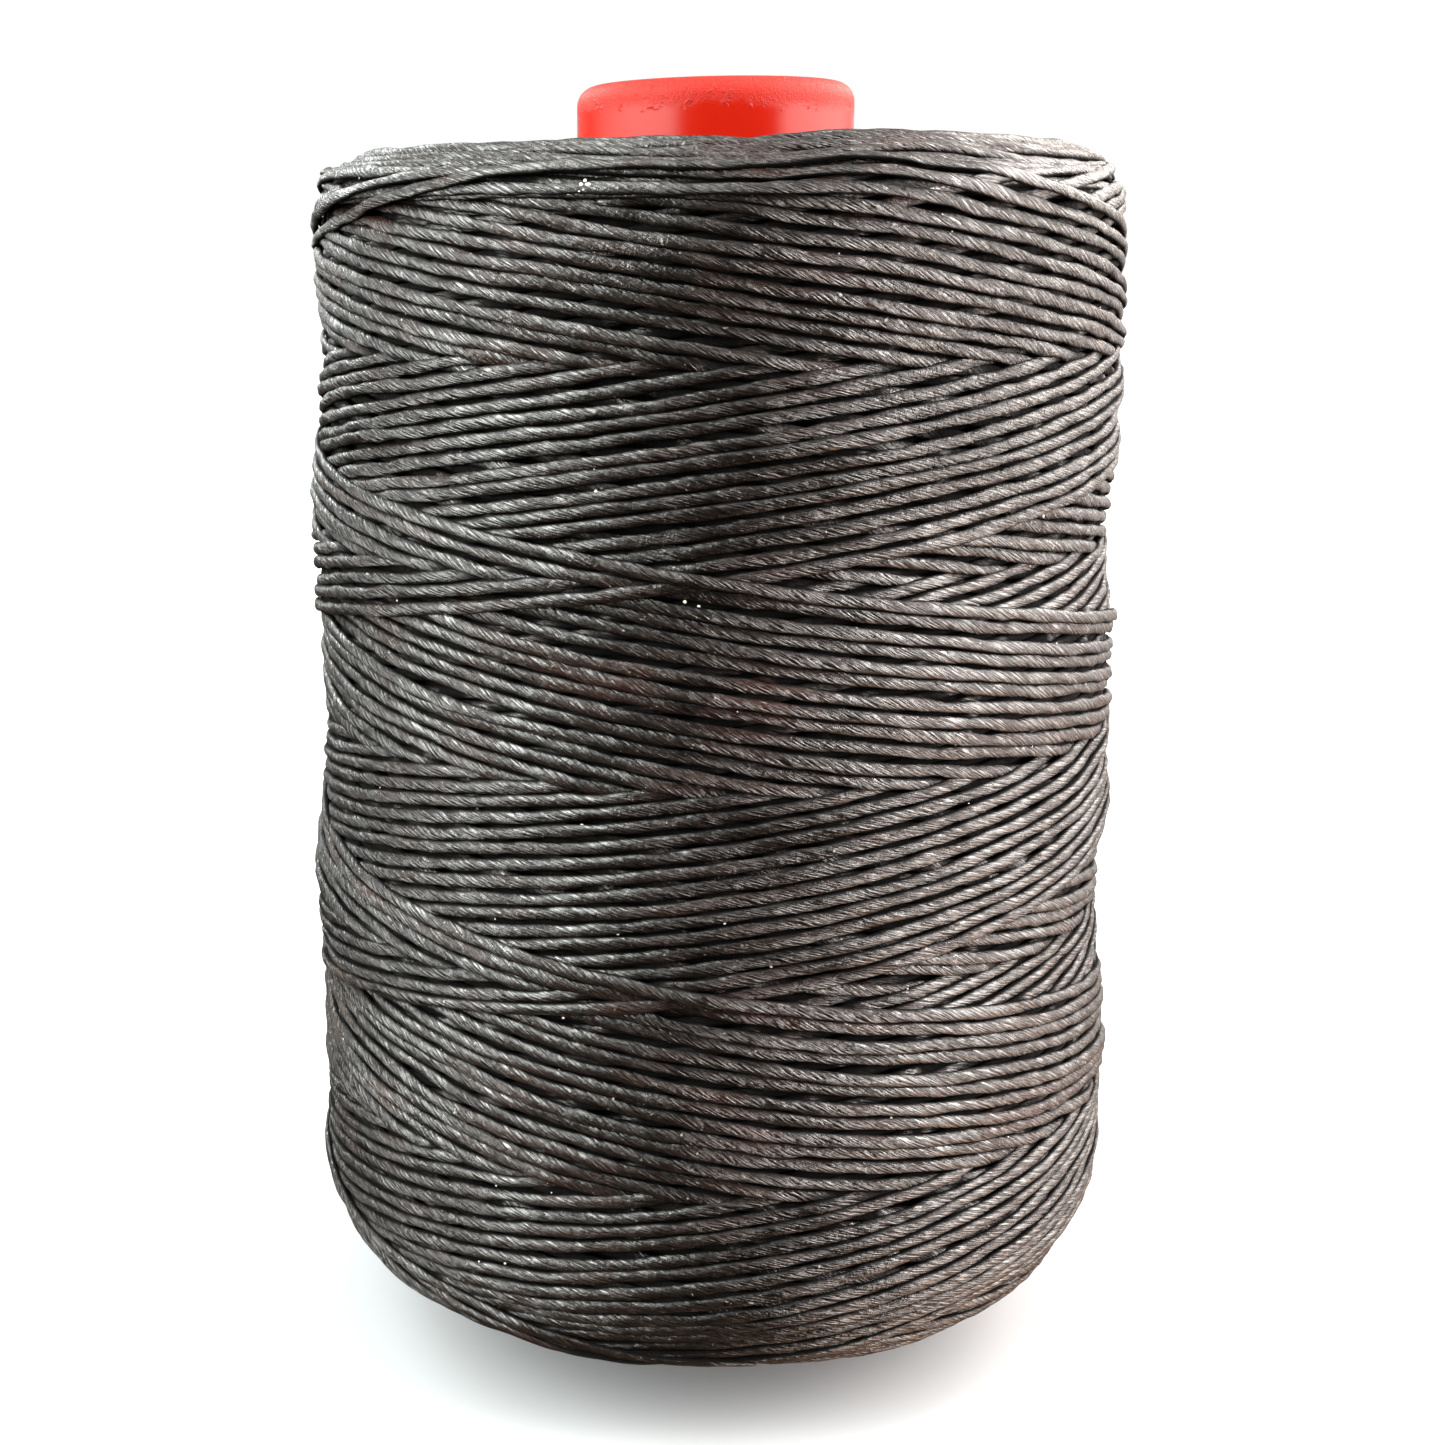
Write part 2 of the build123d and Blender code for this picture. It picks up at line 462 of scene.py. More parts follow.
outer_turns = []
laid_length = 0.0
pass_tone = np.repeat(rng.uniform(0, 1, len(passes)), PASS_STEPS - 1)
for number, start in enumerate(range(0, len(passes), PASSES_PER_PIECE), 1):
    group = passes[start:start + PASSES_PER_PIECE]
    next_pass = passes[start + PASSES_PER_PIECE:][:1]
    beyond = [tuple(part[:OVERLAP + 1] for part in p) for p in next_pass]
    angle, run, height, tilt = (np.concatenate([p[k][:-1] for p in group + beyond]) for k in range(4))
    angle = np.unwrap(angle)
    tone = pass_tone[start * (PASS_STEPS - 1):][:len(angle)]
    length, laid_length = length_of_thread(angle, run, height, tilt, tone, laid_length)
    outer_turns.append(mesh_from_lengths(f"outer_turns_{number}", [length]))
print(f"{laid_length / 1000:.1f} m of thread can be seen or lies just under the surface")

# %% [markdown]
# ## The two end faces
#
# Seen from the end, a wound package shows where every layer turned back. Each turning point is a short
# arc of thread, standing on its edge, that rises out of the package and dives under the next one. The
# arcs follow each other like scales, in rings from the tube to the shoulder. Only these arcs are made,
# because the rest of each old layer is buried.

# %% Arcs where the thread turns back
ARC_DIVE = 1.1               # mm that an arc's ends sink below its top
ARC_DRIFT = 0.34             # mm that an arc leans outwards from its middle to each end
ARCS_ON_END = 25             # arcs in a ring on the flat end
ARCS_ON_SHOULDER = 10        # arcs in a ring on the shoulder, where they are longer
ARC_REACH = math.radians(17)         # half of an arc on the flat end
ARC_BEND = 0.36              # mm that an arc on the shoulder waves
RING_GAP = 0.60              # mm between rings on the flat end
RING_GAP_MORE = 0.52         # mm more between rings on the shoulder


def on_shoulder(run):
    """1 on the shoulder, where the arcs are long and lie flat, and 0 on the flat end."""
    return float(1 - step_up(run, RUN_SHOULDER_END - 3.5, RUN_SHOULDER_END + 0.5))


def turning_arcs(from_run, to_run, side, seed):
    """Swept arcs for one end face. `side` is 1 at the top and -1 at the bottom."""
    random = np.random.default_rng(seed)
    arcs = []
    ring_run = from_run + 0.3
    while ring_run < to_run:
        flat = on_shoulder(ring_run)
        ring_radius = float(on_profile(ring_run)[0])
        arc_count = round(ARCS_ON_END - (ARCS_ON_END - ARCS_ON_SHOULDER) * flat)
        ring_reach = ARC_REACH * ARCS_ON_END / arc_count
        steps = max(int(ring_radius * 2 * ring_reach / 1.5), 5)
        sweep = np.linspace(-1, 1, steps)
        first = random.uniform(0, 2 * math.pi)
        ring_drop = random.uniform(0.0, 0.3)
        for arc in range(arc_count):
            middle = first + (arc + random.uniform(-0.25, 0.25)) / arc_count * 2 * math.pi
            around = middle + sweep * ring_reach * random.uniform(0.85, 1.25)
            bend = flat * ARC_BEND * np.sin(sweep * random.uniform(3, 8) + random.uniform(0, 6))
            run = ring_run - sweep * ARC_DRIFT * (1 + flat) + random.normal(0, 0.07 + 0.1 * flat) + bend
            below = 0.42 + 0.02 * flat + ring_drop + random.uniform(0, 0.25) + ARC_DIVE * np.abs(sweep) ** 2.2
            points, outward = placed(run * side, around, -below)
            outward = np.column_stack([np.sin(around), -np.cos(around), np.full(steps, 0.8 * flat * side)])
            outward /= np.linalg.norm(outward, axis=1)[:, None]
            width = SEEN_WIDTH * (1 - 0.2 * flat) * random.uniform(0.92, 1.06) * (1 + 0.05 * bumps(steps, 2))
            thick = (0.56 + 0.26 * flat) * random.uniform(0.92, 1.12) * (1 + 0.06 * bumps(steps, 2))
            corners, quads, uv, _ = thread_surface(points, outward, width, thick, random.uniform(0, 200))
            tone = np.full(steps, random.uniform())
            # Painted shade: the dive of an arc's ends, kept for the material to darken their colour.
            own = np.column_stack([tone, step_up(below, 1.0, 1.6), np.zeros(steps)])
            arcs.append((corners, quads, uv, np.repeat(own, SECTION_SIDES, axis=0)))
        ring_run += RING_GAP + RING_GAP_MORE * flat
    return arcs


def run_at_radius(radius):
    """The run on the flat end that lies at this radius."""
    return RUN_SHOULDER_END + (PACK_R - SHOULDER_IN - radius)


end_faces = {}
zones = {
    "outer_layers": (HALF_STROKE - 2.2, run_at_radius(MIDDLE_R)),
    "middle_layers": (run_at_radius(MIDDLE_R), run_at_radius(INNER_R)),
    "inner_layers": (run_at_radius(INNER_R), run_at_radius(TUBE_R + 0.3)),
}
for seed, (node, (from_run, to_run)) in enumerate(zones.items()):
    arcs = turning_arcs(from_run, to_run, 1, 100 + seed) + turning_arcs(from_run, to_run, -1, 200 + seed)
    end_faces[node] = mesh_from_lengths(node.replace("layers", "turning_arcs"), arcs)

# %% [markdown]
# ## The buried thread
#
# Under the visible turns the package is solid thread. A turned body stands for it: a bare round wall,
# whose upper loop of corners is extruded over the shoulder, down the bore and back to the start. It
# stays just under the visible turns, so only darkness and thread show between them.

# %% Buried bodies
GAP_UNDER_TURNS = SETTLED_HEIGHT
DROP_UNDER_ARCS = 1.15


def select_where(piece, test, kind="VERT"):
    """In edit mode, selects the corners, edges or faces whose middle passes the test, in mm."""
    bpy.ops.mesh.select_mode(type=kind)
    bpy.ops.mesh.select_all(action="DESELECT")
    bpy.ops.object.mode_set(mode="OBJECT")
    corners = piece.data.vertices
    items = {"VERT": corners, "EDGE": piece.data.edges, "FACE": piece.data.polygons}[kind]
    for item in items:
        places = [item.co] if kind == "VERT" else [corners[i].co for i in item.vertices]
        middle = sum(places[1:], places[0].copy()) / len(places) / MM
        item.select = bool(test(middle, places))
    bpy.ops.object.mode_set(mode="EDIT")


def open_cylinder(name, radius, base, top, sides):
    """A bare round wall, with its place in its mesh."""
    bpy.ops.object.select_all(action="DESELECT")
    bpy.ops.mesh.primitive_cylinder_add(vertices=sides, radius=radius * MM, depth=(top - base) * MM,
                                        end_fill_type="NOTHING", location=(0, 0, (base + top) / 2 * MM))
    piece = bpy.context.object
    piece.name = piece.data.name = name
    bpy.ops.object.transform_apply(location=True, rotation=True, scale=True)
    return piece


def turned_body(name, outline, sides=96):
    """A closed ring turned from (radius, height) points in mm: the first wall, then one extrusion a point."""
    piece = open_cylinder(name, outline[0][0], outline[0][1], outline[1][1], sides)
    bpy.ops.object.mode_set(mode="EDIT")
    last_r, last_z = outline[1]
    select_where(piece, lambda middle, places: abs(middle.z - last_z) < 1e-3)
    for radius, level in outline[2:]:
        bpy.ops.mesh.extrude_region_move(TRANSFORM_OT_translate={"value": (0, 0, (level - last_z) * MM)})
        factor = radius / last_r
        bpy.ops.transform.resize(value=(factor, factor, 1), center_override=(0, 0, level * MM))
        last_r, last_z = radius, level
    bpy.ops.mesh.select_all(action="SELECT")
    bpy.ops.mesh.remove_doubles(threshold=0.00001)
    bpy.ops.mesh.normals_make_consistent(inside=False)
    bpy.ops.object.mode_set(mode="OBJECT")
    return piece


def buried_outline(inner, outer):
    """Once round the section of a buried ring, starting up its outer side."""
    top = PACK_TOP - DROP_UNDER_ARCS
    base = PACK_BASE + DROP_UNDER_ARCS
    if outer > MIDDLE_R:
        runs = np.concatenate([[-SIDE_HALF, SIDE_HALF], SIDE_HALF + np.linspace(1.5, 12.5, 10)])
        runs = runs[runs < run_at_radius(inner)]
        radius, level, out_r, out_z = on_profile(runs)
        deep = np.interp(np.abs(runs), [HALF_STROKE - 3, RUN_SHOULDER_END],
                         [GAP_UNDER_TURNS, DROP_UNDER_ARCS])
        upper = list(zip(radius - out_r * deep, level - out_z * deep))
        lower = [(r, 2 * PACK_MIDDLE - z) for r, z in upper[:1:-1]]
        return upper + [(inner, top), (inner, base)] + lower + [upper[0]]
    return [(outer, base), (outer, top), (inner, top), (inner, base), (outer, base)]


buried = {
    "outer_layers": turned_body("outer_layers_buried", buried_outline(MIDDLE_R, PACK_R)),
    "middle_layers": turned_body("middle_layers_buried", buried_outline(INNER_R, MIDDLE_R)),
    "inner_layers": turned_body("inner_layers_buried", buried_outline(anchor_high.x / MM + 0.2, INNER_R)),
}

# %% [markdown]
# ## The anchor turns
#
# The winder starts with a short band of close turns that grip the tube and trap the thread's end. They
# are buried for good, but they are part of how the spool holds together. They are a plain helix, laid
# in two layers.

# %% Anchor turns
anchor_base = anchor_low.z / MM
anchor_top = anchor_high.z / MM
anchor_turn_count = int((anchor_top - anchor_base) / THREAD_PITCH) - 1
anchor_steps = 36
anchor_angle = np.arange(anchor_turn_count * anchor_steps) * 2 * math.pi / anchor_steps
climbed = anchor_angle / (2 * math.pi) * THREAD_PITCH
anchor_lengths = []
for layer in range(2):
    layer_radius = TUBE_R + THREAD_THICKNESS * (layer + 0.5)
    level = anchor_base + THREAD_WIDTH + (climbed if layer == 0 else climbed[-1] - climbed)
    across_x = layer_radius * np.sin(anchor_angle)
    across_y = -layer_radius * np.cos(anchor_angle)
    helix = smooth_line(np.column_stack([across_x, across_y, level]), 1)
    outward = helix * (1, 1, 0)
    outward /= np.linalg.norm(outward, axis=1)[:, None]
    even = np.ones(len(helix))
    corners, quads, uv, _ = thread_surface(helix, outward, even * THREAD_WIDTH, even * THREAD_THICKNESS * 0.9)
    anchor_lengths.append((corners, quads, uv, 0.5))
anchor_coil = mesh_from_lengths("anchor_coil", anchor_lengths)

# %% [markdown]
# ## The core tube
#
# The tube is an injection moulding in red polypropylene. A round wall gets its thickness from Solidify
# and its soft lips from Bevel on the outside rims. Cuts near each end give the wall rings of corners,
# and the upper ones let the rim lean a little, because such tubes are seldom quite square.

# %% Core tube
TUBE_WALL = TUBE_R - BORE_R
LIP_ROUND = 1.6
LIP_ROUND_INSIDE = 0.3
CUTS = (LIP_ROUND * 1.35, 14)        # mm from each end
RIM_SLOPE = 0.018            # how far the upper rim is out of square
tube = open_cylinder("core_tube_moulding", TUBE_R, 0, TUBE_LENGTH, 144)
bpy.ops.object.mode_set(mode="EDIT")
for level in (CUTS[0], TUBE_LENGTH - CUTS[0], CUTS[1], TUBE_LENGTH - CUTS[1]):
    bpy.ops.mesh.select_all(action="SELECT")
    bpy.ops.mesh.bisect(plane_co=(0, 0, level * MM), plane_no=(0, 0, 1))
bpy.ops.object.mode_set(mode="OBJECT")
wall = tube.modifiers.new("wall", "SOLIDIFY")
wall.thickness = TUBE_WALL * MM
wall.offset = -1
bpy.ops.object.modifier_apply(modifier=wall.name)
bpy.ops.object.mode_set(mode="EDIT")


def on_rim(middle, places, outside):
    """True for an edge of an end face that goes round the outside, or else round the bore."""
    at_end = middle.z < 0.01 or middle.z > TUBE_LENGTH - 0.01
    reach = math.hypot(places[0].x, places[0].y) / MM
    far = math.hypot(places[-1].x, places[-1].y) / MM
    mid_wall = TUBE_R - TUBE_WALL / 2
    return at_end and (min(reach, far) > mid_wall if outside else max(reach, far) < mid_wall)


select_where(tube, lambda middle, places: on_rim(middle, places, True), "EDGE")
bpy.ops.mesh.bevel(offset=LIP_ROUND * MM, segments=7, affect="EDGES")
select_where(tube, lambda middle, places: on_rim(middle, places, False), "EDGE")
bpy.ops.mesh.bevel(offset=LIP_ROUND_INSIDE * MM, segments=2, affect="EDGES")
bpy.ops.mesh.select_all(action="SELECT")
bpy.ops.mesh.remove_doubles(threshold=0.000005)
bpy.ops.mesh.normals_make_consistent(inside=False)
bpy.ops.object.mode_set(mode="OBJECT")
bpy.ops.object.shade_smooth_by_angle(angle=math.radians(40))
for corner in tube.data.vertices:
    corner.co.z += RIM_SLOPE * corner.co.x * float(step_up(corner.co.z / MM, TUBE_LENGTH - 12, TUBE_LENGTH))
print(f"core tube: {len(tube.data.polygons)} faces")

# %% [markdown]
# ## Wax crumbs and stray fibres
#
# Hand-sewing thread is soaked in wax. Crumbs of it break off and stay white in the grooves, most of them
# no bigger than a grain of salt. A few loose filaments stand off the thread. Both are tiny, and both
# tell the eye that this is a used, waxy surface and not smooth plastic.

# %% Wax crumbs
def surface_place(run, angle, lift=0.0, reach=0.0):
    """A point in mm on the turns at a run and an angle, or on the highest turn within reach of it."""
    height = height_map[map_cells(run + np.array([-reach, 0, reach]), np.full(3, angle))].max()
    points, outward = placed(np.array([run]), np.array([angle]), above_profile(run, height) + lift)
    return points[0], outward[0]


bpy.ops.object.select_all(action="DESELECT")
bpy.ops.mesh.primitive_ico_sphere_add(subdivisions=2, radius=1.0)
crumb_shape = bpy.context.object
crumb_corners = np.array([v.co for v in crumb_shape.data.vertices])
crumb_faces = np.array([p.vertices for p in crumb_shape.data.polygons])
bpy.data.objects.remove(crumb_shape)


def crumb(place, outward, size, random):
    """A broken, flattened grain."""
    lumps = random.normal(0, 1.6, (7, 3))
    swell = 1 + 0.34 * np.tanh((crumb_corners @ lumps.T)).sum(1) / 2.5
    stretch = random.uniform(0.6, 1.4, 3)
    grain = crumb_corners * swell[:, None] * stretch * size
    flat = grain - np.outer(grain @ outward, outward) * 0.55
    return flat + place


CLUSTER_PLACE = (44.1, -0.280)       # run in mm and angle
RANDOM_CRUMBS = 260
CLUSTER = [(0.0, 0.36, 0.20), (0.27, 0.16, 0.19), (0.2, -0.16, 0.2), (-0.14, -0.24, 0.17),
           (-0.28, 0.1, 0.2), (0.02, -0.02, 0.12), (-0.45, -0.38, 0.09)]     # mm: aside, up, size
crumb_random = np.random.default_rng(7)
crumb_places = [(22.5, -0.26, 0.21), (20.4, 0.11, 0.18),
                (14.6, -0.07, 0.17), (14.3, -0.04, 0.15), (13.6, -0.03, 0.16), (-9.5, 0.02, 0.15),
                (-7.0, -0.24, 0.13), (3.0, 0.55, 0.14), (-39.0, -0.85, 0.17)]
for _ in range(RANDOM_CRUMBS):
    crumb_places.append((crumb_random.uniform(-45, 45), crumb_random.uniform(-math.pi, math.pi),
                         0.045 + 0.06 * crumb_random.random() ** 3))
corners, faces = [], []
for run, angle, size in crumb_places:
    place, outward = surface_place(run, angle, -0.02, reach=0.6 if size > 0.2 else 0.0)
    faces.append(crumb_faces + len(crumb_corners) * len(corners))
    corners.append(crumb(place, outward, size, crumb_random))
centre, outward = surface_place(*CLUSTER_PLACE, 0.12, reach=0.5)
for aside, up, size in CLUSTER:
    corners_of_grain = crumb(centre + np.array([aside, 0, up]), outward, size, crumb_random)
    faces.append(crumb_faces + len(crumb_corners) * len(corners))
    corners.append(corners_of_grain)
crumb_mesh = bpy.data.meshes.new("wax_crumbs")
crumb_mesh.from_pydata((np.concatenate(corners) * MM).tolist(), [], np.concatenate(faces).tolist())
wax_crumbs = bpy.data.objects.new("wax_crumbs", crumb_mesh)
bpy.context.scene.collection.objects.link(wax_crumbs)
print(f"wax crumbs: {len(corners)}")

# %% Stray fibres
FIBRE_WIDTH = 0.05           # mm, several filaments together, as coarse as it needs to show
FIBRE_COUNT = 170
fibre_random = np.random.default_rng(11)
FIBRE_SECTION = np.radians([45, 135, 225, 315])
fibres = []
for _ in range(FIBRE_COUNT):
    run, angle = fibre_random.uniform(-44, 44), fibre_random.uniform(-math.pi, math.pi)
    place, outward = surface_place(run, angle, 0.03)
    side = np.cross(outward, (0, 0, 1))
    side /= np.linalg.norm(side)
    heading = fibre_random.uniform(-0.7, 0.7) + (math.pi if fibre_random.random() < 0.5 else 0)
    along = side * math.cos(heading) + np.cross(outward, side) * math.sin(heading)
    reach = fibre_random.uniform(0.5, 1.7)
    curl = fibre_random.normal(0, 0.35)
    rise = fibre_random.uniform(0.05, 0.45)
    way = np.linspace(0, 1, 6)[:, None]
    bend = np.cross(outward, along)
    line = place + along * way * reach + bend * curl * way ** 2 + outward * rise * way ** 1.5
    taper = np.linspace(1, 0.4, 6) * FIBRE_WIDTH
    surface = thread_surface(line, np.tile(outward, (6, 1)), taper, taper, turn=FIBRE_SECTION)
    fibres.append((*surface[:3], float(fibre_random.uniform())))
stray_fibres = mesh_from_lengths("stray_fibres", fibres, len(FIBRE_SECTION))

# %% [markdown]
# ## Materials
#
# Every finish starts from what the real one is. One function turns the hex colours that people use
# into the linear values that Blender wants, and one adds a node with its settings and links.

# %% Two helpers
def colour(hex_code):
    """sRGB hex to linear RGBA."""
    parts = [int(hex_code[i:i + 2], 16) / 255 for i in (1, 3, 5)]
    return tuple(c / 12.92 if c <= 0.04045 else ((c + 0.055) / 1.055) ** 2.4 for c in parts) + (1.0,)


def fill(material, node, values, links):
    """Sets sockets to values, or joins them to a node's first output or to a (node, output) pair."""
    for name, value in values.items():
        node.inputs[name].default_value = value
    for name, source in links.items():
        giver, output = source if isinstance(source, tuple) else (source, 0)
        material.node_tree.links.new(giver.outputs[output], node.inputs[name])


def add(material, kind, settings=None, values=None, links=None, stops=()):
    """Adds a shader node. `stops` are the (place, hex colour) pairs of a colour ramp's two ends."""
    node = material.node_tree.nodes.new("ShaderNode" + kind)
    for name, value in (settings or {}).items():
        setattr(node, name, value)
    fill(material, node, values or {}, links or {})
    for end, (place, code) in enumerate(stops):
        node.color_ramp.elements[end].position = place
        node.color_ramp.elements[end].color = colour(code)
    return node


def finish_named(name):
    """A new material and its main shader."""
    material = bpy.data.materials.new(name)
    material.use_nodes = True
    shader = material.node_tree.nodes["Principled BSDF"]
    return material, shader


# %% [markdown]
# ### Waxed braided polyester
#
# Dyed dark brown, with a film of wax that turns greyish where it catches the light. The fibres run
# slantwise, because the strands are twisted. They are really a fiftieth of a millimetre thick. Here
# they are drawn 0.15 mm apart, so that they show. The wax is a clear coat on the backs of the threads
# that lie open. Where a thread dives between others, and towards its sides, shade is painted into its
# colour, nearly black, and it is dull: the attribute made with the sweep says how deep it lies.

# %% Waxed braided polyester
FIBRE_SPACING = 0.15         # mm
FIBRE_LENGTH = 2.0           # mm that one line can be followed
FIBRE_SLANT = math.radians(-21)
SECTION_ROUND = 2.9          # mm round the section of the thread
BACK_OF_SECTION = 0.417      # where the UV map has the middle of the thread's back
CRUSTED_PLACE = (0.027, -0.022, 0.086)     # m, where the wax lies thickest


def waxed_thread(name, dark, light, warm):
    material, shader = finish_named(name)

    # Lines along the fibres
    uv = add(material, "UVMap", {"uv_map": "along_thread"})
    unrolled = add(material, "Mapping", values={"Scale": (1, SECTION_ROUND, 1)}, links={"Vector": uv})
    slanted = add(material, "Mapping", values={"Rotation": (0, 0, FIBRE_SLANT)},
                  links={"Vector": unrolled})
    drawn = add(material, "Mapping", values={"Scale": (1 / FIBRE_LENGTH, 1 / FIBRE_SPACING, 1)},
                links={"Vector": slanted})
    lines = add(material, "TexNoise", {"noise_dimensions": "2D"},
                {"Scale": 1.0, "Detail": 2.0, "Roughness": 0.6}, {"Vector": drawn})
    fibres = add(material, "MapRange", values={"From Min": 0.36, "From Max": 0.64},
                 links={"Value": lines})

    # The film of wax, and where it is crusted
    place = add(material, "TexCoord")
    patches = add(material, "TexNoise", values={"Scale": 150.0, "Detail": 3.0, "Roughness": 0.6},
                  links={"Vector": (place, "Object")})
    film = add(material, "TexNoise", values={"Scale": 2200.0, "Detail": 3.0, "Roughness": 0.65},
               links={"Vector": (place, "Object")})
    from_crust = add(material, "VectorMath", {"operation": "DISTANCE"}, {1: CRUSTED_PLACE},
                     {0: (place, "Object")})
    near_crust = add(material, "MapRange",
                     values={"From Min": 0.008, "From Max": 0.026, "To Min": 0.25, "To Max": 0.0},
                     links={"Value": (from_crust, "Value")})
    broad = add(material, "TexNoise", values={"Scale": 60.0, "Detail": 4.0, "Roughness": 0.7},
                links={"Vector": (place, "Object")})
    crust_sum = add(material, "Math", {"operation": "ADD"}, links={0: broad, 1: near_crust})
    crust = add(material, "MapRange", values={"From Min": 0.55, "From Max": 0.72},
                links={"Value": crust_sum})

    # Colour: fibres and film, brown where the wax is thin, pale specks of wax
    streaks = add(material, "Math", {"operation": "MULTIPLY"}, {1: 0.7}, {0: fibres})
    mixed = add(material, "Math", {"operation": "MULTIPLY_ADD"}, {1: 0.6}, {0: film, 2: streaks})
    base = add(material, "ValToRGB", links={"Fac": mixed}, stops=[(0.30, dark), (0.95, light)])
    tone_and_painted_shade = add(material, "Attribute", {"attribute_name": "tone_and_painted_shade"})
    own = add(material, "SeparateXYZ", links={"Vector": (tone_and_painted_shade, "Vector")})
    warmth = add(material, "MapRange", values={"From Min": 0.43, "From Max": 0.66},
                 links={"Value": patches})
    warm_share = add(material, "Math", {"operation": "MULTIPLY"}, links={0: warmth, 1: (own, "X")})
    browned = add(material, "Mix", {"data_type": "RGBA"}, {7: colour(warm)}, {0: warm_share, 6: base})
    specks = add(material, "TexNoise", values={"Scale": 2300.0, "Detail": 2.0, "Roughness": 0.5},
                 links={"Vector": (place, "Object")})
    more_specks = add(material, "Math", {"operation": "MULTIPLY_ADD"}, {1: 0.035},
                      {0: crust, 2: specks})
    waxy = add(material, "MapRange", values={"From Min": 0.71, "From Max": 0.79, "To Max": 0.6},
               links={"Value": more_specks})
    finished = add(material, "Mix", {"data_type": "RGBA"}, {7: colour("#b9b2a6")},
                   {0: waxy, 6: (browned, 2)})

    # Relief
    smoothed = add(material, "MapRange",
                   values={"From Min": 0.36, "From Max": 0.56, "To Min": 0.45, "To Max": 1.0},
                   links={"Value": patches})
    relief = add(material, "Bump", values={"Distance": 0.00008},
                 links={"Height": fibres, "Strength": smoothed})
    crust_depth = add(material, "MapRange", values={"To Min": 0.22, "To Max": 1.0},
                      links={"Value": crust})
    lumps = add(material, "Bump", values={"Distance": 0.0003},
                links={"Height": film, "Normal": relief,
                       "Strength": crust_depth})

    # Towards its sides the thread is shaded by its neighbours, and no wax is rubbed on to it
    round_place = add(material, "SeparateXYZ", links={"Vector": uv})
    from_back = add(material, "Math", {"operation": "SUBTRACT"}, {1: BACK_OF_SECTION},
                    {0: (round_place, "Y")})
    off_back = add(material, "Math", {"operation": "ABSOLUTE"}, links={0: from_back})
    in_open = add(material, "Math", {"operation": "SUBTRACT"}, {0: 1.0}, {1: (own, "Y")})
    on_back = add(material, "MapRange", {"interpolation_type": "SMOOTHSTEP"},
                  {"From Min": 0.12, "From Max": 0.23, "To Max": 0.0},
                  {"Value": off_back, "To Min": in_open})
    wax_lines = add(material, "MapRange", values={"To Min": 0.25, "To Max": 1.0},
                    links={"Value": fibres})
    wax_skin = add(material, "Math", {"operation": "MULTIPLY"}, links={0: wax_lines, 1: on_back})
    # Painted shade: the colour goes to near black (#020101) towards the sides and where the thread lies deep.
    shaded = add(material, "Mix", {"data_type": "RGBA"}, {6: colour("#020101")},
                 {0: on_back, 7: (finished, 2)})
    gloss = add(material, "MapRange",
                values={"From Min": 0.3, "From Max": 0.7, "To Min": 0.32, "To Max": 0.56},
                links={"Value": film})
    dull = add(material, "Math", {"operation": "MULTIPLY_ADD"}, {1: -0.5, 2: 0.5}, {0: on_back})
    roughness = add(material, "Math", {"operation": "ADD"}, links={0: gloss, 1: dull})
    fill(material, shader,
         {"IOR": 1.5, "Specular IOR Level": 0.15, "Coat Roughness": 0.22, "Coat IOR": 1.95},
         {"Base Color": (shaded, 2), "Roughness": roughness, "Coat Weight": wax_skin,
          "Normal": lumps, "Coat Normal": lumps})
    return material


thread_finish = waxed_thread("waxed braided polyester", "#020101", "#180f0a", "#2c1208")


# %% [markdown]
# ### Buried thread
#
# The body under the turns only shows through gaps. It is the same thread with the gaps' shade painted
# into its colour: nearly black, dull, with fine rings round it.

# %% Buried thread
def buried_thread():
    material, shader = finish_named("buried thread in painted shade")
    place = add(material, "TexCoord")
    rings = add(material, "TexWave", {"wave_type": "BANDS", "bands_direction": "Z"},
                {"Scale": 1000 / THREAD_PITCH / (2 * math.pi), "Distortion": 1.2, "Detail": 2.0},
                {"Vector": (place, "Object")})
    # Painted shade: nearly black, darker than the open thread's own brown.
    tint = add(material, "ValToRGB", links={"Fac": (rings, "Fac")},
               stops=[(0.0, "#020101"), (1.0, "#0b0807")])
    ridge = add(material, "Bump", values={"Strength": 0.5, "Distance": 0.0003},
                links={"Height": (rings, "Fac")})
    fill(material, shader, {"Roughness": 0.9, "Specular IOR Level": 0.1},
         {"Base Color": tint, "Normal": ridge})
    return material


buried_finish = buried_thread()

# %% [markdown]
# ### Moulded polypropylene
#
# Bright red, slightly glossy, with the faint grain of the mould. The lip is duller and rougher than the
# wall, because everything rubs on it, and it carries small scuffs.

# %% Moulded polypropylene
LIP_STARTS = 2.1             # mm from the rim, where the dull lip begins
LIP_FULL = 1.2               # mm from the rim, from where it is fully dull
LIP_WANDER = 1.4             # mm that this line wanders


